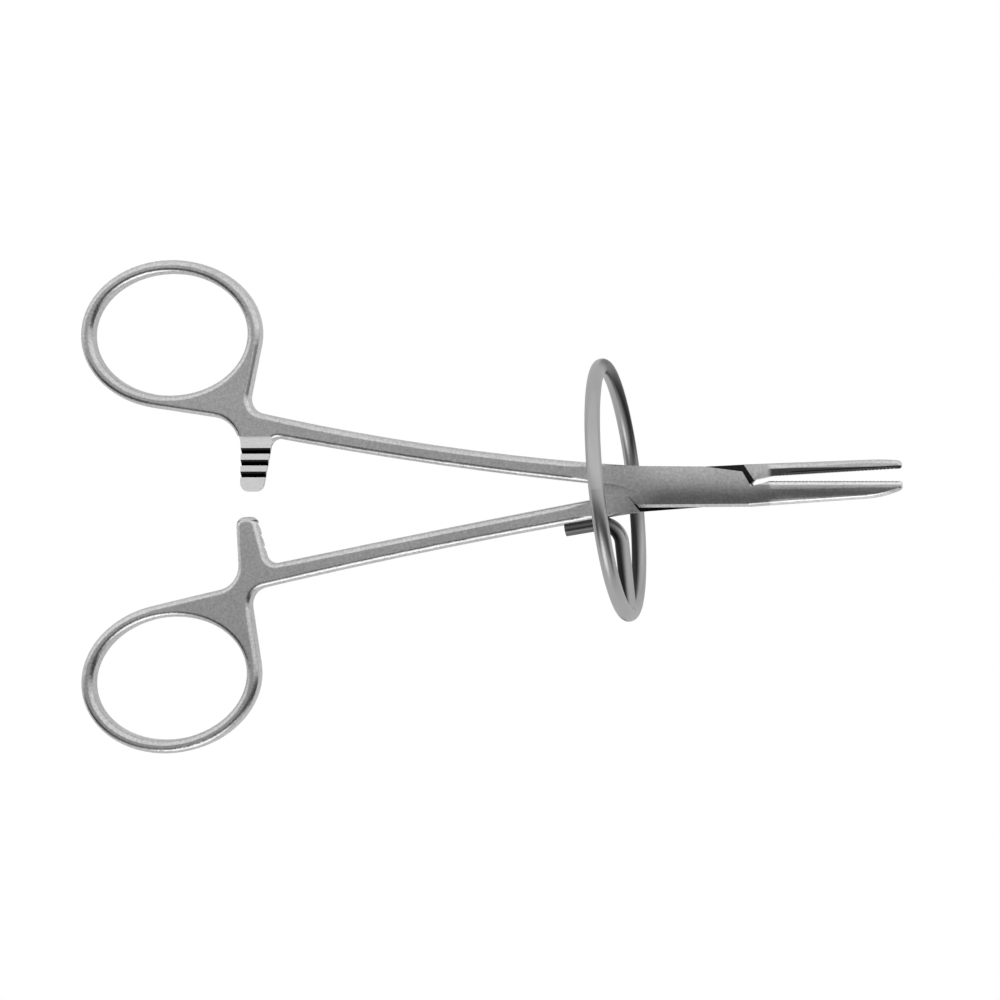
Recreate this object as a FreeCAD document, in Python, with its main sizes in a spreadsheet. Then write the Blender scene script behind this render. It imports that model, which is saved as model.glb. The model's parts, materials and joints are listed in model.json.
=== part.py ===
import FreeCAD, Part
import math
import os
import Sketcher
from FreeCAD import Placement, Rotation, Vector

# Crown pliers: a ratchet forceps with a box lock, and a wire hoop on a stem.
# Each arm is drawn about the pivot: X runs to the jaw tips, Y to that arm's
# finger ring, Z out of its flat face. The tongue arm is the same kind of
# arm turned face down, and swung open by rest_opening. All sizes are in mm.
DOC = FreeCAD.newDocument("crown_pliers")
SHEET = DOC.addObject("Spreadsheet::Sheet", "sizes")
READER = DOC.addObject("App::FeaturePython", "reader")

SIZES = [
    # Finger rings, shared by both arms
    ("ring_half_long", 13.75),
    ("ring_half_short", 10.4),
    ("ring_bar", 2.3),
    ("handle_half_depth", 1.6),
    ("shank_half_depth", 2.2),
    ("taper_start", -70.0),
    ("handle_round", 0.95),
    # Handle outline of the box arm
    ("box_ring_x", -89.83),
    ("box_ring_y", 26.05),
    ("box_ring_turn", 0.0),
    ("box_web_x", -77.5),
    ("box_web_y", 11.25),
    ("box_web_round", 5.0),
    ("box_bar_left", -77.7),
    ("box_bar_right", -73.75),
    ("box_bar_tip", -0.72),
    ("box_root_x", -71.95),
    ("box_root_y", 8.5),
    ("box_crotch_x", -76.25),
    ("box_crotch_y", 13.1),
    ("box_crotch_round", 2.6),
    ("box_inner_bow", 680.0),
    ("box_outer_bow", 425.0),
    ("box_shank_end_x", -9.0),
    ("box_shank_end_y", 3.45),
    # Handle outline of the tongue arm
    ("tongue_ring_x", -91.6),
    ("tongue_ring_y", 27.3),
    ("tongue_ring_turn", -7.1),
    ("tongue_web_x", -78.35),
    ("tongue_web_y", 12.05),
    ("tongue_web_round", 4.2),
    ("tongue_bar_left", -78.3),
    ("tongue_bar_right", -74.75),
    ("tongue_bar_tip", 0.6),
    ("tongue_root_x", -72.95),
    ("tongue_root_y", 8.9),
    ("tongue_crotch_x", -76.85),
    ("tongue_crotch_y", 13.2),
    ("tongue_crotch_round", 3.0),
    ("tongue_inner_bow", 3000.0),
    ("tongue_outer_bow", 1000.0),
    ("tongue_shank_end_x", -8.9),
    ("tongue_shank_end_y", 3.6),
    # Ratchet
    ("root_round", 1.8),
    ("tip_round", 1.5),
    ("lap_gap", 0.1),
    ("lap_step", 8.7),
    ("lap_side", -71.7),
    ("tooth_first", 6.2),
    ("tooth_pitch", 2.0),
    ("tooth_count", 3),
    ("tooth_width", 1.0),
    ("tooth_depth", 0.75),
    # Box lock
    ("lock_half_depth", 2.6),
    ("lock_gap", 0.08),
    ("front_gap", 0.5),
    ("wall_gap", 0.3),
    ("tongue_half_depth", 0.85),
    ("slot_gap", 0.05),
    ("pin_radius", 1.3),
    ("pin_gap", 0.05),
    ("rivet_gap", 0.01),
    ("neck_x", -17.4),
    ("neck_y", 0.62),
    ("fork_x", -14.7),
    ("fork_y", 0.66),
    ("step_x", -12.5),
    ("step_y", 0.38),
    ("notch_x", -10.5),
    ("notch_y", -0.15),
    ("crotch_x", -12.5),
    ("crotch_y", -0.47),
    ("shoulder_in_x", -10.4),
    ("shoulder_in_y", -0.9),
    ("shoulder_out_x", -8.58),
    ("shoulder_out_y", -3.38),
    ("front_out_x", 8.51),
    ("front_out_y", 2.5),
    ("front_in_x", 9.9),
    ("front_in_y", 0.1),
    ("heel_x", 12.87),
    ("wall_lean", 1.0),
    ("wall_reach", 4.2),
    ("plate_rear", -16.4),
    ("plate_high", 1.8),
    ("plate_low", 0.8),
    ("plate_root", 2.0),
    ("plate_gap", 0.4),
    ("flank", 3.3),
    ("crown_x", 2.0),
    ("crown_y", 3.35),
    ("ramp_rear", -24.0),
    ("ramp_rear_top", -13.0),
    ("ramp_front_top", 9.5),
    ("ramp_front", 18.0),
    ("ramp_half_width", 0.4),
    ("ramp_low_depth", 1.75),
    ("box_ramp_rear_y", 2.95),
    ("box_ramp_front_y", -0.95),
    ("tongue_ramp_rear_y", 3.55),
    ("tongue_ramp_front_y", -2.05),
    ("lock_bevel", 0.5),
    # Jaws
    ("seam", 0.95),
    ("seam_gap", 0.04),
    ("jaw_root_half_depth", 2.4),
    ("jaw_tip_half_depth", 1.05),
    ("jaw_tip", 34.25),
    ("jaw_bend", 28.5),
    ("jaw_round", 0.6),
    ("nose_round", 0.7),
    ("lip_round", 0.45),
    ("box_jaw_root", -3.25),
    ("box_jaw_bend", -1.92),
    ("box_jaw_nose", -0.4),
    ("box_jaw_bow", 15.0),
    ("tongue_jaw_root", -3.15),
    ("tongue_jaw_bend", -2.75),
    ("tongue_jaw_nose", -2.3),
    ("tongue_jaw_bow", 40.0),
    ("groove_start", 13.8),
    ("groove_end", 33.2),
    ("groove_pitch", 0.6),
    ("groove_width", 0.4),
    ("groove_depth", 0.16),
    # Hoop and stem
    ("hoop_radius", 20.6),
    ("hoop_wire", 1.25),
    ("hoop_x", -12.79),
    ("hoop_y", -0.26),
    ("hoop_lean", 2.9),
    ("hoop_tip", 1.4),
    ("stem_wire", 1.2),
    ("stem_bend", 3.55),
    ("stem_seat", 0.75),
    ("stem_foot", 5.4),
    # How the arms stand in the rest pose
    ("rest_opening", 3.3),
]

for row, (alias, number) in enumerate(SIZES, start=1):
    SHEET.set("A%d" % row, alias)
    SHEET.set("B%d" % row, repr(number))
    SHEET.setAlias("B%d" % row, alias)
DOC.recompute()


def size(name):
    """One number of the sheet."""
    return float(SHEET.get(name))


def value(text):
    """What an expression of the sheet comes to now."""
    return float(READER.evalExpression(text))


def cell(name):
    """The expression that reads one cell."""
    return "sizes." + name


# Sketches: every corner is held at a place given by the sheet

def hold(sketch, geometry, end, place):
    """Hold one point of a sketch at a place written as two expressions."""
    for kind, text in zip(("DistanceX", "DistanceY"), place):
        rule = Sketcher.Constraint(kind, -1, 1, geometry, end, value(text))
        number = sketch.addConstraint(rule)
        sketch.setExpression("Constraints[%d]" % number, text)


def hold_radius(sketch, geometry, text):
    """Hold the radius of one arc of a sketch."""
    rule = Sketcher.Constraint("Radius", geometry, value(text))
    number = sketch.addConstraint(rule)
    sketch.setExpression("Constraints[%d]" % number, text)


def arc_centre(start, end, bow):
    """Centre of the arc between two points; a positive bow bulges to the right."""
    middle = (start + end) * 0.5
    chord = end - start
    left = Vector(-chord.y, chord.x, 0).normalize()
    rise = math.sqrt(bow * bow - (chord.Length / 2) ** 2)
    return middle + left * math.copysign(rise, bow)


def heading(start, end, bow, at_end):
    """Direction of a side at one of its ends."""
    if not bow:
        return (end - start).normalize()
    spoke = (end if at_end else start) - arc_centre(start, end, bow)
    return Vector(-spoke.y, spoke.x, 0).normalize() * math.copysign(1, bow)


def add_arc(sketch, centre, start, end, turns_left):
    """Add an arc and give its number and the numbers of its first and last points."""
    first, last = (start, end) if turns_left else (end, start)
    radius = (start - centre).Length
    from_angle = math.atan2(first.y - centre.y, first.x - centre.x)
    to_angle = math.atan2(last.y - centre.y, last.x - centre.x)
    if to_angle < from_angle:
        to_angle += 2 * math.pi
    circle = Part.Circle(centre, Vector(0, 0, 1), radius)
    number = sketch.addGeometry(Part.ArcOfCircle(circle, from_angle, to_angle))
    return (number, 1, 2) if turns_left else (number, 2, 1)


def add_side(sketch, start, end, bow):
    """Add a straight or bowed side from start to end."""
    if not bow:
        return sketch.addGeometry(Part.LineSegment(start, end)), 1, 2
    centre = arc_centre(start, end, bow)
    return add_arc(sketch, centre, start, end, bow > 0)


def join(sketch, kind, one, other):
    """Tie the last point of one side to the first point of the other."""
    sketch.addConstraint(Sketcher.Constraint(kind, one[0], one[2], other[0], other[1]))


def new_sketch(name, upright=False):
    """A sketch on the plan plane, or on the upright plane along X."""
    sketch = DOC.addObject("Sketcher::SketchObject", name)
    if upright:
        sketch.Placement = Placement(Vector(), Rotation(Vector(1, 0, 0), 90))
    return sketch


def draw(sketch, corners, closed=True):
    """Draw the sides between corners (x, y, rounding, bow of the next side)."""
    places = [Vector(value(x), value(y), 0) for x, y, _, _ in corners]
    count = len(corners)
    spans = count if closed else count - 1
    bows = []
    for x, y, rounding, bow in corners:
        bows.append(value(bow) if bow else 0)
    heads = []
    for index in range(spans):
        ends = places[index], places[(index + 1) % count]
        heads.append([heading(*ends, bows[index], False), heading(*ends, bows[index], True)])

    def setback(index):
        """How far a corner's rounding reaches along its two sides."""
        if not corners[index][2]:
            return 0
        turn = heads[index - 1][1].getAngle(heads[index][0])
        return value(corners[index][2]) * math.tan(turn / 2)

    sides = []
    for index in range(spans):
        after = (index + 1) % count
        start = places[index] + heads[index][0] * setback(index)
        end = places[after] - heads[index][1] * (setback(after) if closed or after < spans else 0)
        sides.append(add_side(sketch, start, end, bows[index]))
        if bows[index]:
            hold_radius(sketch, sides[-1][0], "abs(%s)" % corners[index][3])

    for index, (x, y, rounding, bow) in enumerate(corners):
        if not closed and index in (0, count - 1):
            continue
        before, after = sides[index - 1], sides[index % spans]
        if not rounding:
            join(sketch, "Coincident", before, after)
            hold(sketch, after[0], after[1], (x, y))
            continue
        head_in, head_out = heads[index - 1][1], heads[index][0]
        left = head_in.cross(head_out).z > 0
        radius = value(rounding)
        start = places[index] - head_in * setback(index)
        end = places[index] + head_out * setback(index)
        inward = Vector(-head_in.y, head_in.x, 0) * (1 if left else -1)
        arc = add_arc(sketch, start + inward * radius, start, end, left)
        corner = sketch.addGeometry(Part.Point(places[index]), True)
        hold(sketch, corner, 1, (x, y))
        join(sketch, "Tangent", before, arc)
        join(sketch, "Tangent", arc, after)
        hold_radius(sketch, arc[0], rounding)
        sketch.addConstraint(Sketcher.Constraint("PointOnObject", corner, 1, before[0]))
        sketch.addConstraint(Sketcher.Constraint("PointOnObject", corner, 1, after[0]))
    return sides


def extrude(name, profile, depth):
    """Extrude a profile both ways by a depth written as an expression."""
    solid = DOC.addObject("Part::Extrusion", name)
    solid.Base = profile
    solid.DirMode = "Normal"
    solid.Solid = True
    solid.Symmetric = True
    solid.setExpression("LengthFwd", depth)
    return solid


def common(name, *objects):
    """What several solids share."""
    shared = DOC.addObject("Part::MultiCommon", name)
    shared.Shapes = list(objects)
    return shared


def fuse(name, *objects):
    """Several solids as one, with flush faces merged."""
    joined = DOC.addObject("Part::MultiFuse", name)
    joined.Shapes = list(objects)
    joined.Refine = True
    return joined


def cut(name, base, *tools):
    """A solid less one tool after another."""
    for number, tool in enumerate(tools, start=1):
        last = number == len(tools)
        less = DOC.addObject("Part::Cut", name if last else "%s_cut_%d" % (name, number))
        less.Base = base
        less.Tool = tool
        base = less
    return base


def is_wall(face):
    """True for a face that stands upright on the plan."""
    low, high, near, far = face.ParameterRange
    return abs(face.normalAt((low + high) / 2, (near + far) / 2).z) < 0.05


def rim(shape, wanted):
    """Numbers of the edges between a wall and a flat face, where wanted(middle) is true."""
    found = []
    for number, edge in enumerate(shape.Edges, start=1):
        faces = shape.ancestorsOfType(edge, Part.Face)
        walls = [is_wall(face) for face in faces]
        middle = edge.valueAt((edge.FirstParameter + edge.LastParameter) / 2)
        if True in walls and False in walls and wanted(middle):
            found.append(number)
    return found


def soften(kind, name, base, wanted, radius):
    """Round or bevel the rim edges of a solid."""
    DOC.recompute()
    softened = DOC.addObject("Part::" + kind, name)
    softened.Base = base
    softened.Edges = [(number, radius, radius) for number in rim(base.Shape, wanted)]
    return softened


# The two arms

def ring_touch(arm, corner, upper):
    """Where the line from a corner touches the outside of the finger ring."""
    turn = math.radians(size(arm + "_ring_turn"))
    long = size("ring_half_long") + size("ring_bar")
    short = size("ring_half_short") + size("ring_bar")
    centre = Vector(size(arm + "_ring_x"), size(arm + "_ring_y"), 0)
    away = corner - centre
    across = (away.x * math.cos(turn) + away.y * math.sin(turn)) / long
    along = (away.y * math.cos(turn) - away.x * math.sin(turn)) / short
    reach = math.hypot(across, along)
    swing = math.acos(1 / reach)
    angle = math.atan2(along, across) + (swing if upper else -swing)
    flat = Vector(long * math.cos(angle), short * math.sin(angle), 0)
    point = Vector(flat.x * math.cos(turn) - flat.y * math.sin(turn),
                   flat.x * math.sin(turn) + flat.y * math.cos(turn), 0)
    return angle, centre + point


def point(name):
    """The expressions of a point of the box lock."""
    return cell(name + "_x"), cell(name + "_y")


def shank_foot(arm):
    """Corners at the end of the shank's inner edge, by the crotch of the box lock."""
    if arm == "box":
        return [point("neck"), point("fork")]
    return [mate("crotch", "- sizes.lock_gap")]


def mate(name, gap):
    """A point of the box lock's outline on the tongue arm, moved by a signed gap."""
    return "sizes.%s_x %s" % (name, gap), "-(sizes.%s_y %s)" % (name, gap)


def handle_plan(arm):
    """Outline of finger ring, web, ratchet bar and shank."""
    sketch = new_sketch(arm + "_handle_plan")

    def at(name):
        return cell("%s_%s" % (arm, name))

    web = Vector(size(arm + "_web_x"), size(arm + "_web_y"), 0)
    crotch = Vector(size(arm + "_crotch_x"), size(arm + "_crotch_y"), 0)
    low_angle, low_point = ring_touch(arm, web, False)
    high_angle, high_point = ring_touch(arm, crotch, True)
    if low_angle < high_angle:
        low_angle += 2 * math.pi

    # Outside of the ring
    turn = "sizes.%s_ring_turn" % arm
    long = "(sizes.ring_half_long + sizes.ring_bar)"
    short = "(sizes.ring_half_short + sizes.ring_bar)"
    centre = Vector(value(at("ring_x")), value(at("ring_y")), 0)
    head = ("%s + %s * cos(%s)" % (at("ring_x"), long, turn),
            "%s + %s * sin(%s)" % (at("ring_y"), long, turn))
    flank = ("%s - %s * sin(%s)" % (at("ring_x"), short, turn),
             "%s + %s * cos(%s)" % (at("ring_y"), short, turn))
    corner = [Vector(value(x), value(y), 0) for x, y in (head, flank)]
    ellipse = Part.Ellipse(corner[0], corner[1], centre)
    ring = sketch.addGeometry(Part.ArcOfEllipse(ellipse, high_angle, low_angle))
    sketch.exposeInternalGeometry(ring)
    hold(sketch, ring, 3, (at("ring_x"), at("ring_y")))
    for axis, place, target in ((ring + 1, head, corner[0]), (ring + 2, flank, corner[1])):
        line = sketch.Geometry[axis]
        end = 1 if (line.StartPoint - target).Length < (line.EndPoint - target).Length else 2
        if axis == ring + 1:
            hold(sketch, axis, end, place)
            continue
        rule = Sketcher.Constraint("Distance", axis, 2 * value(short))
        number = sketch.addConstraint(rule)
        sketch.setExpression("Constraints[%d]" % number, "2 * " + short)

    # From the ring down the web, round the ratchet bar and along the shank
    foot = shank_foot(arm)
    start = ("%.9f" % low_point.x, "%.9f" % low_point.y, None, None)
    finish = ("%.9f" % high_point.x, "%.9f" % high_point.y, None, None)
    sides = draw(sketch, [
        start,
        (at("web_x"), at("web_y"), at("web_round"), None),
        (at("bar_left"), at("bar_tip"), cell("tip_round"), None),
        (at("bar_right"), at("bar_tip"), cell("tip_round"), None),
        (at("root_x"), at("root_y"), cell("root_round"), at("inner_bow")),
        *[(x, y, None, None) for x, y in foot],
        (at("shank_end_x"), at("shank_end_y"), None, "-" + at("outer_bow")),
        (at("crotch_x"), at("crotch_y"), at("crotch_round"), None),
        finish,
    ], closed=False)
    join(sketch, "Tangent", (ring, 1, 2), sides[0])
    join(sketch, "Tangent", sides[-1], (ring, 1, 2))
    return sketch


def handle(arm):
    """Finger ring, web, ratchet bar and shank, rounded all along."""
    plan = extrude(arm + "_handle_block", handle_plan(arm), "4 * sizes.shank_half_depth")

    side = new_sketch(arm + "_handle_side", upright=True)
    rise = "(sizes.shank_half_depth - sizes.handle_half_depth)"
    run = "(sizes.%s_shank_end_x - sizes.taper_start)" % arm
    bow = "(%s * %s + %s * %s) / (2 * %s)" % (run, run, rise, rise, rise)
    rear = cell("taper_start") + " - 4 * sizes.ring_half_long"
    end = cell(arm + "_shank_end_x")
    high = cell("handle_half_depth")
    tall = cell("shank_half_depth")
    draw(side, [
        (rear, "-" + high, None, None),
        (cell("taper_start"), "-" + high, None, "-(%s)" % bow),
        (end, "-" + tall, None, None),
        (end, tall, None, "-(%s)" % bow),
        (cell("taper_start"), high, None, None),
        (rear, high, None, None),
    ])
    taper = extrude(arm + "_handle_taper", side, "8 * sizes.%s_ring_y" % arm)

    eye = DOC.addObject("Part::Ellipse", arm + "_ring_eye")
    eye.setExpression("MajorRadius", cell("ring_half_long"))
    eye.setExpression("MinorRadius", cell("ring_half_short"))
    eye.setExpression("Placement.Base.x", cell(arm + "_ring_x"))
    eye.setExpression("Placement.Base.y", cell(arm + "_ring_y"))
    eye.setExpression("Placement.Rotation.Angle", cell(arm + "_ring_turn"))
    hole = extrude(arm + "_ring_hole", eye, "4 * sizes.handle_half_depth")
    bare = cut(arm + "_handle_bare", common(arm + "_handle_shape", plan, taper), hole)

    # The cut end inside the box lock keeps its edges
    one = Vector(*[value(text) for text in shank_foot(arm)[-1]], 0)
    other = Vector(size(arm + "_shank_end_x"), size(arm + "_shank_end_y"), 0)
    middle = (one + other) * 0.5

    def outside(spot):
        return (Vector(spot.x, spot.y, 0) - middle).Length > 1
    return soften("Fillet", arm + "_handle", bare, outside, size("handle_round"))


def ramp_end(arm, end, side):
    """One corner of the narrow end of a lock ramp."""
    return (cell("ramp_" + end),
            "sizes.%s_ramp_%s_y %+d * sizes.ramp_half_width" % (arm, end, side))


def lock(arm, corners):
    """The thick block of the box lock, with ramps that run out on shank and jaw."""
    sketch = new_sketch(arm + "_lock_plan")
    draw(sketch, [(x, y, None, None) for x, y in corners])
    plan = extrude(arm + "_lock_block", sketch, "4 * sizes.lock_half_depth")
    side = new_sketch(arm + "_lock_side", upright=True)
    top = [(cell("ramp_rear"), cell("ramp_low_depth")),
           (cell("ramp_rear_top"), cell("lock_half_depth")),
           (cell("ramp_front_top"), cell("lock_half_depth")),
           (cell("ramp_front"), cell("ramp_low_depth"))]
    loop = [(x, y, None, None) for x, y in top]
    loop += [(x, "-" + y, None, None) for x, y in reversed(top)]
    draw(side, loop)
    ramps = extrude(arm + "_lock_ramps", side, "8 * sizes.flank")
    return common(arm + "_lock", plan, ramps)


def box_underside():
    """Rim edges lower in Y than this belong to the outer side of box and jaw root."""
    return (size("shoulder_out_y") + size("box_jaw_bend")) / 2


def jaw(arm, heel, front):
    """One jaw: a straight gripping edge, a bowed back and a blunt nose."""
    sketch = new_sketch(arm + "_jaw_plan")
    lip = heel[1]

    def at(name):
        return cell("%s_jaw_%s" % (arm, name))
    draw(sketch, [
        (cell("ramp_front_top"), at("root"), None, None),
        (cell("jaw_bend"), at("bend"), None, at("bow")),
        (cell("jaw_tip"), at("nose"), cell("nose_round"), None),
        (cell("jaw_tip"), lip, cell("lip_round"), None),
        (heel[0], heel[1], None, None),
        (front[0], front[1], None, None),
        (cell("ramp_front_top"), front[1], None, None),
    ])
    plan = extrude(arm + "_jaw_block", sketch, "4 * sizes.jaw_root_half_depth")
    side = new_sketch(arm + "_jaw_side", upright=True)
    far = "(sizes.jaw_tip + sizes.nose_round)"
    draw(side, [
        (cell("ramp_front_top"), "-sizes.jaw_root_half_depth", None, None),
        (far, "-sizes.jaw_tip_half_depth", None, None),
        (far, "sizes.jaw_tip_half_depth", None, None),
        (cell("ramp_front_top"), "sizes.jaw_root_half_depth", None, None),
    ])
    taper = extrude(arm + "_jaw_taper", side, "8 * sizes.flank")
    bare = common(arm + "_jaw_bare", plan, taper)

    def beyond(spot):
        return spot.x > size("heel_x") or spot.y < box_underside()
    return soften("Fillet", arm + "_jaw", bare, beyond, size("jaw_round"))


def prism(corners, start, end):
    """A prism with its corners in X and Y, from start to end in Z."""
    points = [Vector(x, y, start) for x, y in corners]
    face = Part.Face(Part.makePolygon(points + points[:1]))
    return face.extrude(Vector(0, 0, end - start))


def row(name, solids):
    """A row of like solids, used as one tool."""
    tool = DOC.addObject("Part::Feature", name)
    tool.Shape = Part.makeCompound(solids)
    return tool


def ratchet_cuts(arm):
    """The half lap of the ratchet bar and its sawtooth grooves."""
    lap = DOC.addObject("Part::Box", arm + "_lap")
    past_bar = "2 * (sizes.lap_side - sizes.%s_bar_left)" % arm
    past_tip = "2 * (sizes.lap_step - sizes.%s_bar_tip)" % arm
    lap.setExpression("Length", past_bar)
    lap.setExpression("Width", past_tip)
    lap.setExpression("Height", "4 * sizes.handle_half_depth")
    lap.setExpression("Placement.Base.x", "sizes.lap_side - " + past_bar)
    lap.setExpression("Placement.Base.y", "sizes.lap_step - " + past_tip)
    lap.setExpression("Placement.Base.z", "-sizes.lap_gap / 2")
    bar = size(arm + "_bar_right") - size(arm + "_bar_left")
    half = size("tooth_width") / 2
    land = -size("lap_gap") / 2
    above = land + size("tooth_depth")
    deep = land - size("tooth_depth")
    teeth = []
    for number in range(int(size("tooth_count"))):
        place = size("tooth_first") - number * size("tooth_pitch")
        steep = place - half
        saw = prism([(steep, above), (steep, deep), (place + half, land), (place + half, above)],
                    0, 3 * bar)
        saw.Placement = Placement(Vector(size(arm + "_bar_left") - bar, 0, 0),
                                  Rotation(Vector(1, 1, 1), 120))
        teeth.append(saw)
    return lap, row(arm + "_teeth", teeth)


def gripping_grooves(arm, lip, into):
    """Cross grooves along the gripping edge, cut on the side given by into."""
    half = size("groove_width") / 2
    depth = size("groove_depth") * into
    count = int((size("groove_end") - size("groove_start")) / size("groove_pitch")) + 1
    reach = 2 * size("jaw_root_half_depth")
    grooves = []
    for number in range(count):
        middle = size("groove_start") + number * size("groove_pitch")
        corners = [(middle - 2 * half, lip - depth), (middle, lip + depth),
                   (middle + 2 * half, lip - depth)]
        grooves.append(prism(corners, -reach, reach))
    return row(arm + "_grooves", grooves)


def pin_hole(arm, gap):
    """The hole for the pivot pin."""
    hole = DOC.addObject("Part::Cylinder", arm + "_pin_hole")
    hole.setExpression("Radius", "sizes.pin_radius + sizes.%s" % gap)
    hole.setExpression("Height", "4 * sizes.lock_half_depth")
    hole.setExpression("Placement.Base.z", "-2 * sizes.lock_half_depth")
    return hole


def wall_point(corner, turn, gap, height):
    """Expressions of a point on the slanted wall of the slot, at a height in Y."""
    shift = "%+d * sizes.wall_gap" % gap if gap else ""
    return ("sizes.%s_x %s + sizes.wall_lean * (%s - sizes.%s_y)" % (corner, shift, height, corner),
            height)


def box_arm():
    """The arm with the box: two cheeks with a slot between them."""
    block = lock("box", [
        ramp_end("box", "rear", 1), ramp_end("box", "rear", -1),
        point("fork"), point("step"), point("notch"),
        point("shoulder_in"), point("shoulder_out"),
        (cell("ramp_front_top"), cell("box_jaw_root")),
        (cell("ramp_front_top"), "sizes.box_jaw_root + sizes.jaw_round"),
        ramp_end("box", "front", -1), ramp_end("box", "front", 1),
        point("front_in"), point("front_out"), point("crown"),
        point("box_shank_end"),
    ])

    def under(spot):
        along = size("shoulder_out_x") < spot.x < size("ramp_front_top")
        return along and spot.y < box_underside()
    bevelled = soften("Chamfer", "box_lock_bevelled", block, under, size("lock_bevel"))
    grip = jaw("box", (cell("heel_x"), cell("seam")), point("front_in"))
    whole = fuse("box_blank", handle("box"), bevelled, grip)

    slot = new_sketch("box_slot_plan")
    rear = "sizes.plate_rear - sizes.plate_gap"
    front = "sizes.front_in_x + sizes.wall_gap"
    low = "-sizes.wall_reach"
    draw(slot, [(x, y, None, None) for x, y in (
        (rear, "sizes.plate_high + sizes.plate_gap"),
        wall_point("shoulder_in", 1, -1, "(sizes.plate_low + sizes.plate_gap)"),
        wall_point("shoulder_in", 1, -1, cell("wall_reach")),
        (front, cell("wall_reach")),
        (front, cell("front_in_y")),
        wall_point("front_in", 1, 1, low),
        (rear, low),
    )])
    window = extrude("box_slot", slot, "2 * (sizes.tongue_half_depth + sizes.slot_gap)")
    lap, teeth = ratchet_cuts("box")
    grooves = gripping_grooves("box", size("seam"), -1)
    return cut("box_arm", whole, window, pin_hole("box", "rivet_gap"), lap, teeth, grooves)


def tongue_arm():
    """The arm with the tongue that passes through the box."""
    crotch, inner, outer = (mate(name, "- sizes.lock_gap")
                            for name in ("crotch", "shoulder_in", "shoulder_out"))
    front_in, front_out = (mate(name, "+ sizes.front_gap") for name in ("front_in", "front_out"))
    heel = ("sizes.heel_x + sizes.lock_gap", "-sizes.seam - sizes.seam_gap")
    rear_wall = wall_point("shoulder_in", -1, 0, cell("flank"))[0]
    front_wall = wall_point("front_in", -1, 0, "-sizes.flank")[0]
    block = lock("tongue", [
        ramp_end("tongue", "rear", 1), ramp_end("tongue", "rear", -1),
        crotch, inner,
        (rear_wall, "-sizes.flank"),
        (cell("ramp_front_top"), cell("tongue_jaw_root")),
        ramp_end("tongue", "front", -1), ramp_end("tongue", "front", 1),
        heel, front_in,
        (front_wall, cell("flank")),
        point("tongue_shank_end"),
    ])

    # The tongue's thin plate goes on in the crotch, and slides into the box arm's slot
    outline = new_sketch("tongue_plate_plan")
    draw(outline, [(x, y, None, None) for x, y in (
        (cell("plate_rear"), "-sizes.plate_high"),
        (wall_point("shoulder_in", -1, 0, cell("plate_low"))[0], "-sizes.plate_low"),
        (inner[0], cell("plate_root")),
        (cell("plate_rear"), cell("plate_root")),
    )])
    plate = extrude("tongue_plate", outline, "2 * sizes.tongue_half_depth")
    whole = fuse("tongue_blank", handle("tongue"), block, plate, jaw("tongue", heel, front_in))

    # Where the cheeks of the box lie, above and below the tongue
    sketch = new_sketch("tongue_cheek_plan")

    def onward(start, end):
        """As far again past the end point of a shoulder."""
        return tuple("2 * (%s) - (%s)" % (last, first) for first, last in zip(start, end))
    draw(sketch, [(x, y, None, None) for x, y in (
        inner, onward(inner, outer),
        (front_in[0], onward(inner, outer)[1]),
        front_in, onward(front_in, front_out),
        (inner[0], onward(front_in, front_out)[1]),
    )])
    cheeks = []
    for name, side in (("upper", 1), ("lower", -1)):
        space = DOC.addObject("Part::Extrusion", "tongue_%s_space" % name)
        space.Base = sketch
        space.DirMode = "Custom"
        space.Dir = Vector(0, 0, side)
        space.Solid = True
        space.setExpression("LengthFwd", "2 * sizes.lock_half_depth")
        space.setExpression("LengthRev", "-sizes.tongue_half_depth")
        cheeks.append(space)
    lap, teeth = ratchet_cuts("tongue")
    grooves = gripping_grooves("tongue", -size("seam") - size("seam_gap"), -1)
    return cut("tongue_arm", whole, *cheeks, pin_hole("tongue", "pin_gap"), lap, teeth, grooves)


def pivot_pin():
    """The riveted pin, ground flush with both cheeks."""
    body = DOC.addObject("PartDesign::Body", "pivot_pin")
    plane = [item for item in body.Origin.OriginFeatures if item.Role == "XY_Plane"][0]
    sketch = body.newObject("Sketcher::SketchObject", "pin_section")
    sketch.AttachmentSupport = [(plane, "")]
    sketch.MapMode = "FlatFace"
    circle = Part.Circle(Vector(), Vector(0, 0, 1), size("pin_radius"))
    number = sketch.addGeometry(circle)
    sketch.addConstraint(Sketcher.Constraint("Coincident", number, 3, -1, 1))
    hold_radius(sketch, number, cell("pin_radius"))
    pad = body.newObject("PartDesign::Pad", "pin_length")
    pad.Profile = sketch
    pad.SideType = "Symmetric"
    pad.setExpression("Length", "2 * sizes.lock_half_depth")
    body.Tip = pad
    return body


def shank_edge(along):
    """Height in Y of the tongue arm's outer shank edge, and its slope, at a place in X."""
    start = Vector(size("tongue_crotch_x"), size("tongue_crotch_y"), 0)
    end = Vector(size("tongue_shank_end_x"), size("tongue_shank_end_y"), 0)
    bow = size("tongue_outer_bow")
    centre = arc_centre(end, start, -bow)
    rise = math.sqrt(bow * bow - (along - centre.x) ** 2)
    return centre.y - rise, (along - centre.x) / rise


def check_model():
    """Stop if any object failed or any sub-part isn't a sound solid."""
    DOC.recompute()
    for thing in DOC.Objects:
        if "Invalid" in thing.State or "Error" in thing.State:
            raise RuntimeError("%s is %s" % (thing.Name, thing.State))
    for label, thing in PARTS.items():
        shape = thing.Shape
        if shape.isNull() or not shape.isValid() or len(shape.Solids) != 1:
            raise RuntimeError("%s isn't one sound solid" % label)
        print(label, round(shape.Volume, 2), len(shape.Faces))


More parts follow.
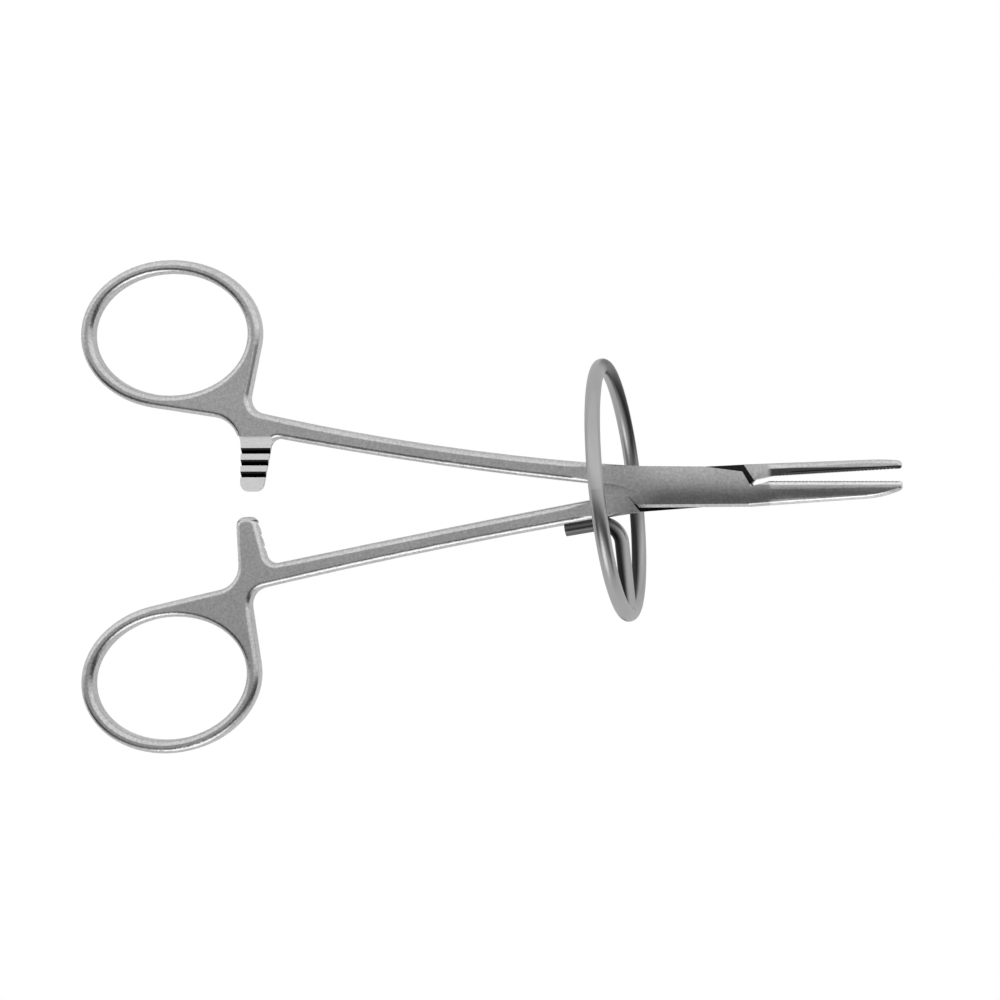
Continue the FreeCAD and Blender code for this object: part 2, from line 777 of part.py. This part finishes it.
def hoop_frame():
    """Where the hoop's middle is on the tongue arm, its axis along Z."""
    lean = Rotation(Vector(0, 0, 1), -size("hoop_lean"))
    upright = Rotation(Vector(0, 1, 0), 90 - size("hoop_tip"))
    return Placement(Vector(size("hoop_x"), size("hoop_y"), 0), lean.multiply(upright))


def ring_of_wire(name):
    """The hoop: round wire bent to a ring and closed."""
    ring = DOC.addObject("Part::Torus", name)
    ring.setExpression("Radius1", cell("hoop_radius"))
    ring.setExpression("Radius2", cell("hoop_wire"))
    return ring


def hoop_stem():
    """The J of round wire that carries the hoop: foot, bend and leg."""
    centre = hoop_frame().Base
    lean = math.radians(size("hoop_lean"))
    outward = Vector(math.sin(lean), math.cos(lean), 0)
    height, slope = shank_edge(centre.x)
    along = Vector(1, slope, 0).normalize()
    aside = Vector(-along.y, along.x, 0)
    edge = Vector(centre.x, height, 0) + aside * size("stem_seat")

    # Where the foot's line crosses the leg's line
    offset = edge - centre
    reach = offset.dot(aside) / outward.dot(aside)
    corner = centre + outward * reach
    turn = along.getAngle(outward)
    setback = size("stem_bend") * math.tan(turn / 2)
    rear = corner - along * (setback + size("stem_foot"))
    bend_start = corner - along * setback
    bend_end = corner + outward * setback
    bend_middle = bend_start + aside * size("stem_bend")
    spoke = (corner - bend_middle).normalize() * size("stem_bend")
    finish = centre + outward * size("hoop_radius")
    path = Part.Wire([
        Part.makeLine(rear, bend_start),
        Part.Arc(bend_start, bend_middle + spoke, bend_end).toShape(),
        Part.makeLine(bend_end, finish),
    ])
    section = Part.Wire(Part.makeCircle(size("stem_wire"), rear, along))
    wire = DOC.addObject("Part::Feature", "stem_wire")
    wire.Shape = path.makePipeShell([section], True, False)

    # The wire is seated flat on the shank and saddled on the hoop
    shank = extrude("stem_shank_seat", DOC.getObject("tongue_handle_plan"),
                    "4 * sizes.shank_half_depth")
    saddle = ring_of_wire("stem_hoop_seat")
    saddle.Placement = hoop_frame()
    return cut("hoop_stem", wire, shank, saddle)


def stand(parts):
    """Turn and lift the sub-parts into the rest pose and centre them on the floor."""
    swung = Placement(Vector(), Rotation(Vector(0, 0, 1), size("rest_opening")))
    face_down = Placement(Vector(), Rotation(Vector(1, 0, 0), 180))
    on_tongue = swung.multiply(face_down)
    local = {"box_arm": Placement(), "pivot_pin": Placement(), "tongue_arm": on_tongue,
             "hoop": on_tongue.multiply(hoop_frame()), "hoop_stem": on_tongue}

    def lowest(names, pitch):
        """The lowest point of some sub-parts when the pliers are pitched tips up."""
        tip_up = Placement(Vector(), Rotation(Vector(0, 1, 0), -pitch))
        low = []
        for name in names:
            shape = parts[name].Shape.copy()
            shape.Placement = tip_up.multiply(local[name])
            low.append(shape.optimalBoundingBox(False, False).ZMin)
        return min(low)

    def gap(pitch):
        """How much higher the hoop stands than the finger rings at a pitch."""
        return lowest(["hoop"], pitch) - lowest(["box_arm", "tongue_arm"], pitch)

    # The pitch at which hoop and finger rings reach the floor together
    reach = size("hoop_x") - size("box_ring_x") + size("ring_half_long")
    last, pitch = 0, math.degrees(math.atan(size("hoop_radius") / reach))
    last_gap, this_gap = gap(last), gap(pitch)
    while abs(this_gap) > 1e-4:
        step = this_gap * (pitch - last) / (this_gap - last_gap)
        last, last_gap = pitch, this_gap
        pitch -= step
        this_gap = gap(pitch)
    tip_up = Placement(Vector(), Rotation(Vector(0, 1, 0), -pitch))
    for name, thing in parts.items():
        thing.Placement = tip_up.multiply(local[name])
    DOC.recompute()
    box = FreeCAD.BoundBox()
    for thing in parts.values():
        box.add(thing.Shape.optimalBoundingBox(False, False))
    lift = Placement(Vector(-box.Center.x, -box.Center.y, -box.ZMin), Rotation())
    for name, thing in parts.items():
        thing.Placement = lift.multiply(tip_up).multiply(local[name])
    DOC.recompute()
    print("pitch %.4f pivot %.4f %.4f %.4f" % ((pitch,) + tuple(lift.Base)))
    print("size %.3f %.3f %.3f" % (box.XLength, box.YLength, box.ZLength))


PARTS = {
    "box_arm": box_arm(),
    "tongue_arm": tongue_arm(),
    "pivot_pin": pivot_pin(),
    "hoop": ring_of_wire("hoop"),
    "hoop_stem": hoop_stem(),
}
for label, thing in PARTS.items():
    thing.Label = label
DOC.recompute()
stand(PARTS)
check_model()
os.makedirs("parts", exist_ok=True)
for label, thing in PARTS.items():
    thing.Shape.exportStep("parts/%s.step" % label)
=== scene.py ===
import json
import math

import bmesh
import bpy
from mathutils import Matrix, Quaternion, Vector

# Crown pliers in satin steel, lying on a white table and seen from straight above.
# Everything is in metres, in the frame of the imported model.
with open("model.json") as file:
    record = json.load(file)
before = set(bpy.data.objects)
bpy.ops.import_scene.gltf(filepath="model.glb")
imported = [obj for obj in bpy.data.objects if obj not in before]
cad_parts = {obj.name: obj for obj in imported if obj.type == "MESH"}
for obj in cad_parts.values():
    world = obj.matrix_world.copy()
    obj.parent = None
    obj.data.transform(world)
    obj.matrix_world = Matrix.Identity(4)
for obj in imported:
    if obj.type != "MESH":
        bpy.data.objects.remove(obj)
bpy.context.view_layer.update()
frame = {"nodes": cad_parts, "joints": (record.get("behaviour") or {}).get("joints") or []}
MM = 0.001

# Placing: the hinge gives the pivot and the direction across the flat faces
HINGE = frame["joints"][0]
PIVOT = Vector(HINGE["pos_m"])
DEPTH = Vector(HINGE["axis"]).normalized()
ALONG = Vector((DEPTH.z, 0, -DEPTH.x))
ACROSS = Vector((0, 1, 0))
UP = Vector((0, 0, 1))
REST_OPENING = Quaternion(DEPTH, math.radians(-HINGE["range_deg"][0]))

# Camera: how far above the pivot it stands, and what the photograph's frame takes in
CAMERA_HEIGHT = 500 * MM
PIXELS_PER_MM = 6.088
PHOTO_WIDTH = 1000
PIVOT_PIXEL = (693, 487)
SENSOR_MM = 36

# Steel colours, as linear values
BLASTED = (0.535, 0.535, 0.54)
# Polished rims; the same colour is the painted highlight along the tongue arm's jaw back
POLISHED_AND_HIGHLIGHT = (0.75, 0.75, 0.755)
# Painted highlight: on the ratchet's lands and on both strips along the box arm's jaw
PAINTED_HIGHLIGHT = (0.97, 0.97, 0.97)
WIRE = (0.55, 0.55, 0.555)
# Painted shade on the low sides of the hoop and the stem, turned from the light
PAINTED_WIRE_SHADE = (0.035, 0.035, 0.035)
# Painted shade along the tongue arm's jaw seam
PAINTED_SEAM_SHADE = (0.07, 0.07, 0.07)
# Painted shade on the walls of the ratchet's grooves and inside the lock
PAINTED_DEEP_SHADE = (0.02, 0.02, 0.02)

# Places on an arm, measured from the pivot: along it, and across to its own finger ring
RATCHET_ALONG = (-79.5 * MM, -71.5 * MM)
RATCHET_ACROSS = 8.75 * MM
RATCHET_LAND = 0.2 * MM
TEETH_ACROSS = (1.2 * MM, 7.4 * MM)
LOCK_START = (-16 * MM, -3 * MM)
LOCK_ALONG = (-9.5 * MM, 13 * MM)
TONGUE_TOP = 1.1 * MM
JAW_START = (9 * MM, 16 * MM)
JAW_ALONG = (12.5 * MM, 34.3 * MM)
SEAM = 0.95 * MM

# Painted highlight and shade strips along the jaws: widths at the heel and the tip, and each
# back's place and slope
BOX_STRIP = (1.3 * MM, 1.0 * MM)
TONGUE_STRIP = (1.25 * MM, 0.55 * MM)
BOX_BACK = (-3.92 * MM, 0.07)
TONGUE_BACK = (-3.35 * MM, 0.021)
RIM_SHARE = 0.7

# How softly one finish runs into the next
MASK_EDGE = 0.15 * MM
STRIP_EDGE = 0.1 * MM
BAR_EDGE = 0.05 * MM

# How squarely a surface faces a direction where a finish starts, and where it is full
FLAT = (0.965, 0.995)
LEVEL = (0.9, 0.97)
SLANTED = (0.3, 0.5)
SIDEWAYS = (0.9, 0.95)
GRIPPING = (0.97, 0.995)

# Crown of the ground lock, and what the jaws have more
CROWN_RADIUS = 8 * MM
LOCK_CROWN = 0.5
JAW_CROWN = 0.3

# Arm finish: patterns per metre, depth of the grain, and roughness
ARM_GRAIN = 2400
ARM_CLOUDS = 70
SCRATCHES = 900
SCRATCH_STRETCH = (0.06, 1, 1)
ARM_GRAIN_DEPTH = 0.01 * MM
POLISHED_ROUGHNESS = 0.22
BLASTED_MORE = 0.16
GROUND_LESS = 0.1
SCRATCHED_MORE = 0.06

# Wire finish, and where shade is painted on the hoop: below the stem, on its side of the pliers
WIRE_GRAIN = 2200
WIRE_CLOUDS = 120
WIRE_GRAIN_DEPTH = 0.006 * MM
WIRE_ROUGHNESS = 0.24
HOOP_REACH = 12 * MM
STEM_HEIGHT = 24 * MM
STEM_SIDE_SHARE = 0.6
FULLY_SHADED = 0.8
FADE = 6 * MM

# The room's brightness in directions from the near wall (-1) over the ceiling to the far one
ROOM_TONES = ((-1, 0.55), (-0.72, 0.55), (-0.56, 0.05), (-0.22, 0.03),
              (-0.09, 0.58), (0.06, 0.66), (0.2, 0.9), (1, 0.75))

# The table: half its side, its paper white, and its glow in the metal
TABLE_HALF = 1.5
PAPER = (0.9, 0.9, 0.9)
WHITE = (1, 1, 1)
TABLE_GLOW = 0.3


# Materials: plain arithmetic on sockets

class Value:
    """A number that varies over a surface, for use in plain arithmetic."""

    def __init__(self, shader, socket):
        self.shader = shader
        self.socket = socket

    def maths(self, operation, *others):
        """Add one maths node."""
        node = self.shader.add("ShaderNodeMath", {"operation": operation},
                               dict(enumerate((self,) + others)))
        return Value(self.shader, node.outputs[0])

    def __add__(self, other):
        return self.maths("ADD", other)

    def __sub__(self, other):
        return self.maths("SUBTRACT", other)

    def __mul__(self, other):
        return self.maths("MULTIPLY", other)

    __radd__ = __add__
    __rmul__ = __mul__

    def __rsub__(self, other):
        return self * -1 + other

    def __abs__(self):
        return self.maths("ABSOLUTE")

    def step(self, low, high):
        """0 below low, 1 above high, and smooth between."""
        node = self.shader.add("ShaderNodeMapRange", {"interpolation_type": "SMOOTHSTEP"},
                               {"Value": self, "From Min": low, "From Max": high})
        return Value(self.shader, node.outputs["Result"])

    def within(self, low, high):
        """1 from low to high, 0 outside, with a soft edge at both ends."""
        return (self.step(low - MASK_EDGE, low + MASK_EDGE)
                * (1 - self.step(high - MASK_EDGE, high + MASK_EDGE)))


class Shader:
    """The nodes of one material or of the world."""

    def __init__(self, owner, output="ShaderNodeOutputMaterial"):
        owner.use_nodes = True
        self.tree = owner.node_tree
        self.tree.nodes.clear()
        self.output = self.tree.nodes.new(output)

    def add(self, kind, settings=None, inputs=None):
        """Add a node, with its settings first and then the values or links of its sockets."""
        node = self.tree.nodes.new(kind)
        for name, setting in (settings or {}).items():
            setattr(node, name, setting)
        for name, value in (inputs or {}).items():
            socket = value.socket if isinstance(value, Value) else value
            if isinstance(socket, bpy.types.NodeSocket):
                self.tree.links.new(socket, node.inputs[name])
            else:
                node.inputs[name].default_value = socket
        return node

    def along(self, vector, direction):
        """A vector's part in a direction."""
        node = self.add("ShaderNodeVectorMath", {"operation": "DOT_PRODUCT"},
                        {0: vector, 1: direction})
        return Value(self, node.outputs["Value"])

    def distance(self, direction, start=(0, 0, 0)):
        """How far a point lies from start in a direction."""
        place = self.add("ShaderNodeTexCoord").outputs["Object"]
        offset = self.add("ShaderNodeVectorMath", {"operation": "SUBTRACT"}, {0: place, 1: start})
        return self.along(offset.outputs["Vector"], direction)

    def facing(self, direction):
        """How squarely the surface faces a direction, from -1 to 1."""
        return self.along(self.add("ShaderNodeTexCoord").outputs["Normal"], direction)

    def noise(self, scale, detail, stretch=(1, 1, 1)):
        """Soft noise; stretch squeezes the pattern along X, Y and Z."""
        place = self.add("ShaderNodeTexCoord").outputs["Object"]
        stretched = self.add("ShaderNodeMapping", {}, {"Vector": place, "Scale": stretch})
        node = self.add("ShaderNodeTexNoise", {},
                        {"Vector": stretched.outputs["Vector"], "Scale": scale, "Detail": detail})
        return Value(self, node.outputs["Fac"])

    def mix(self, factor, one, other, blend="MIX"):
        """A colour between two others, or one times the other."""
        node = self.add("ShaderNodeMix", {"data_type": "RGBA", "blend_type": blend},
                        {0: factor, 6: colour(one), 7: colour(other)})
        return node.outputs[2]

    def grey(self, value):
        """A grey as bright as a value."""
        node = self.add("ShaderNodeCombineColor", {}, {0: value, 1: value, 2: value})
        return node.outputs["Color"]

    def bump(self, height, distance, base=None):
        """A normal from a height, on top of a base normal where there is one."""
        inputs = {"Height": height, "Distance": distance}
        if base:
            inputs["Normal"] = base
        return self.add("ShaderNodeBump", {}, inputs).outputs["Normal"]

    def glow(self, kind, tone):
        """A light of one colour, at full strength."""
        return self.add(kind, {}, {"Color": colour(tone), "Strength": 1.0}).outputs[0]

    def blend(self, factor, one, other):
        """A surface between two others."""
        return self.add("ShaderNodeMixShader", {}, {0: factor, 1: one, 2: other}).outputs[0]

    def metal(self, base, roughness, normal):
        """A metal surface."""
        node = self.add("ShaderNodeBsdfPrincipled", {},
                        {"Base Color": base, "Roughness": roughness,
                         "Metallic": 1.0, "Normal": normal})
        return node.outputs["BSDF"]

    def close(self, surface):
        """Give the output its surface."""
        self.tree.links.new(surface, self.output.inputs["Surface"])


def colour(value):
    """A colour with its alpha, or a socket as it is."""
    if isinstance(value, bpy.types.NodeSocket):
        return value
    return (*value, 1)


def arm_steel(name, along, across, up, seam, back, strip, seam_paint, back_paint):
    """A forged arm: blasted flats, polished rims, a painted highlight on the ratchet's lands and
    painted shade in its grooves and lock.

    Its own directions run along it, across to its finger ring and out of its flat
    face. The jaw has two painted strips in the last two colours given: one along
    the seam (painted highlight on the box arm, painted shade on the tongue arm) and
    one of painted highlight along its back, whose place is given by the back's place
    at the pivot and its slope; strip gives their widths at the heel and at the tip.
    """
    material = bpy.data.materials.new(name)
    shader = Shader(material)
    x = shader.distance(along, PIVOT)
    y = shader.distance(across, PIVOT)
    z = shader.distance(up, PIVOT)
    facing_up = shader.facing(up)
    facing_across = shader.facing(across)
    flat = abs(facing_up).step(*FLAT)

    # The ratchet: painted highlight on its lands and painted shade on the walls of its grooves
    bar = x.within(*RATCHET_ALONG) * (1 - y.step(RATCHET_ACROSS - BAR_EDGE, RATCHET_ACROSS))
    land_highlight = bar * facing_up.step(*LEVEL) * (1 - z.step(0.5 * RATCHET_LAND, RATCHET_LAND))
    groove_shade = bar * y.within(*TEETH_ACROSS) * abs(facing_across).step(*SLANTED)

    # Painted shade inside the lock, but not on what shows from beside it
    thin = 1 - abs(z).step(0.9 * TONGUE_TOP, TONGUE_TOP)
    lock_shade = x.within(*LOCK_ALONG) * thin * (1 - abs(facing_across).step(*SIDEWAYS))

    # Painted strips along the jaw's seam and back, but not on its gripping face
    width = strip[0] + (strip[1] - strip[0]) * x.step(*JAW_ALONG)
    on_jaw = x.step(JAW_ALONG[0], JAW_ALONG[0] + MM)
    on_strip = on_jaw * (1 - abs(facing_across).step(*GRIPPING))
    from_back = back[0] + x * back[1] + RIM_SHARE * width - y
    seam_strip = on_strip * (y + width - seam).step(-STRIP_EDGE, STRIP_EDGE)
    back_strip = on_strip * from_back.step(-STRIP_EDGE, STRIP_EDGE)

    # Colour and sheen
    grain = shader.noise(ARM_GRAIN, 3)
    cloud = shader.noise(ARM_CLOUDS, 3)
    scratch = shader.noise(SCRATCHES, 2, SCRATCH_STRETCH)
    steel = shader.mix(flat, POLISHED_AND_HIGHLIGHT, BLASTED)
    steel = shader.mix(back_strip, steel, back_paint)
    steel = shader.mix(seam_strip, steel, seam_paint)
    steel = shader.mix(land_highlight, steel, PAINTED_HIGHLIGHT)
    steel = shader.mix(groove_shade.maths("MAXIMUM", lock_shade), steel, PAINTED_DEEP_SHADE)
    tone = shader.grey((0.82 + 0.3 * cloud) * (0.6 + 0.8 * grain))
    toned = shader.mix(1 - 0.8 * land_highlight, steel, tone, "MULTIPLY")
    ground = x.step(*LOCK_START)
    roughness = (POLISHED_ROUGHNESS + (BLASTED_MORE - GROUND_LESS * ground) * flat * (1 - land_highlight)
                 + SCRATCHED_MORE * scratch)

    # Lock and jaws are ground slightly crowned, highest along the seam
    away = y - seam
    crown = LOCK_CROWN * ground + JAW_CROWN * x.step(*JAW_START)
    crowned = shader.bump(away * away * crown * (-0.5 / CROWN_RADIUS), 1.0)
    grained = shader.bump(grain * (0.3 + flat) + scratch * 0.3, ARM_GRAIN_DEPTH, crowned)
    shader.close(shader.metal(toned, roughness, grained))
    return material


def wire_steel():
    """Drawn wire: smooth, with slight clouds, and painted shade on the low sides turned from the
    light.
    """
    material = bpy.data.materials.new("wire_steel")
    shader = Shader(material)
    y = shader.distance(ACROSS, PIVOT)
    aside = shader.facing(ALONG) * y * (1 / HOOP_REACH)
    stem_side = 1 - y.step(-FADE, FADE)
    low = 1 - shader.distance(UP).step(STEM_HEIGHT, STEM_HEIGHT + FADE)
    wire_shade = (aside + STEM_SIDE_SHARE * stem_side).step(0, FULLY_SHADED) * low
    cloud = shader.noise(WIRE_CLOUDS, 3)
    grain = shader.noise(WIRE_GRAIN, 2)
    clouded = shader.mix(cloud, [0.85 * part for part in WIRE], [1.1 * part for part in WIRE])
    shader.close(shader.metal(shader.mix(wire_shade, clouded, PAINTED_WIRE_SHADE),
                              WIRE_ROUGHNESS + 0.08 * cloud + 0.05 * grain,
                              shader.bump(grain, WIRE_GRAIN_DEPTH)))
    return material


def dress(node, material):
    """Give a node of the frame one material all over."""
    piece = frame["nodes"][node]
    piece.data.materials.clear()
    piece.data.materials.append(material)


# Box arm: painted highlight in both jaw strips; tongue arm: painted shade along the seam, painted
# highlight along the back
BOX_STEEL = arm_steel("box_arm_steel", ALONG, ACROSS, DEPTH,
                      SEAM, BOX_BACK, BOX_STRIP, PAINTED_HIGHLIGHT, PAINTED_HIGHLIGHT)
TONGUE_STEEL = arm_steel("tongue_arm_steel", REST_OPENING @ ALONG, REST_OPENING @ -ACROSS,
                         -DEPTH, -SEAM, TONGUE_BACK, TONGUE_STRIP, PAINTED_SEAM_SHADE, POLISHED_AND_HIGHLIGHT)
WIRE_STEEL = wire_steel()
dress("box_arm", BOX_STEEL)
dress("pivot_pin", BOX_STEEL)
dress("tongue_arm", TONGUE_STEEL)
dress("hoop", WIRE_STEEL)
dress("hoop_stem", WIRE_STEEL)


# Stage: a white table, a plain room and one soft lamp

def table():
    """The white table; seen directly it is as bright as paper, and it glows in the metal."""
    mesh = bpy.data.meshes.new("table")
    shape = bmesh.new()
    bmesh.ops.create_grid(shape, x_segments=1, y_segments=1, size=TABLE_HALF)
    shape.to_mesh(mesh)
    shape.free()
    floor = bpy.data.objects.new("table", mesh)
    bpy.context.scene.collection.objects.link(floor)
    material = bpy.data.materials.new("table_white")
    shader = Shader(material)
    path = shader.add("ShaderNodeLightPath")
    seen = (Value(shader, path.outputs["Is Camera Ray"])
            + TABLE_GLOW * Value(shader, path.outputs["Is Glossy Ray"]))
    matte = shader.add("ShaderNodeBsdfDiffuse", {}, {"Color": colour(PAPER)}).outputs[0]
    shader.close(shader.blend(seen, matte, shader.glow("ShaderNodeEmission", WHITE)))
    mesh.materials.append(material)


def room():
    """The studio: white to the camera; the metal sees walls, a dark band and the ceiling."""
    world = bpy.data.worlds.new("room")
    bpy.context.scene.world = world
    shader = Shader(world, "ShaderNodeOutputWorld")
    direction = shader.add("ShaderNodeTexCoord").outputs["Generated"]
    share = shader.along(direction, ACROSS) * 0.5 + 0.5
    ramp = shader.add("ShaderNodeValToRGB", {}, {"Fac": share})
    stops = ramp.color_ramp.elements
    for _ in range(len(ROOM_TONES) - len(stops)):
        stops.new(1)
    for stop, (place, tone) in zip(stops, ROOM_TONES):
        stop.position = (place + 1) / 2
        stop.color = (tone, tone, tone, 1)
    lit = shader.glow("ShaderNodeBackground", ramp.outputs["Color"])
    white = shader.glow("ShaderNodeBackground", WHITE)
    seen = shader.add("ShaderNodeLightPath").outputs["Is Camera Ray"]
    shader.close(shader.blend(seen, lit, white))


def lamp(name, place, size, brightness):
    """A square soft light aimed at the pliers; brightness is that of its face."""
    light = bpy.data.lights.new(name, "AREA")
    light.shape = "SQUARE"
    light.size = size
    light.energy = brightness * math.pi * size * size
    holder = bpy.data.objects.new(name, light)
    holder.location = place
    holder.rotation_euler = (PIVOT - Vector(place)).to_track_quat("-Z", "Y").to_euler()
    bpy.context.scene.collection.objects.link(holder)


def camera():
    """Straight above; the lens and the place put the pivot on its pixel."""
    centre = PHOTO_WIDTH / 2
    scale = PIXELS_PER_MM / MM
    lens = bpy.data.cameras.new("camera")
    lens.sensor_width = SENSOR_MM
    lens.lens = SENSOR_MM * CAMERA_HEIGHT * scale / PHOTO_WIDTH
    holder = bpy.data.objects.new("camera", lens)
    holder.location = (PIVOT.x - (PIVOT_PIXEL[0] - centre) / scale,
                       PIVOT.y + (PIVOT_PIXEL[1] - centre) / scale,
                       PIVOT.z + CAMERA_HEIGHT)
    bpy.context.scene.collection.objects.link(holder)
    bpy.context.scene.camera = holder


table()
room()
lamp("near_side", place=(-0.15, -0.55, 0.34), size=0.4, brightness=1.0)
camera()
bpy.context.scene.view_settings.view_transform = "Standard"
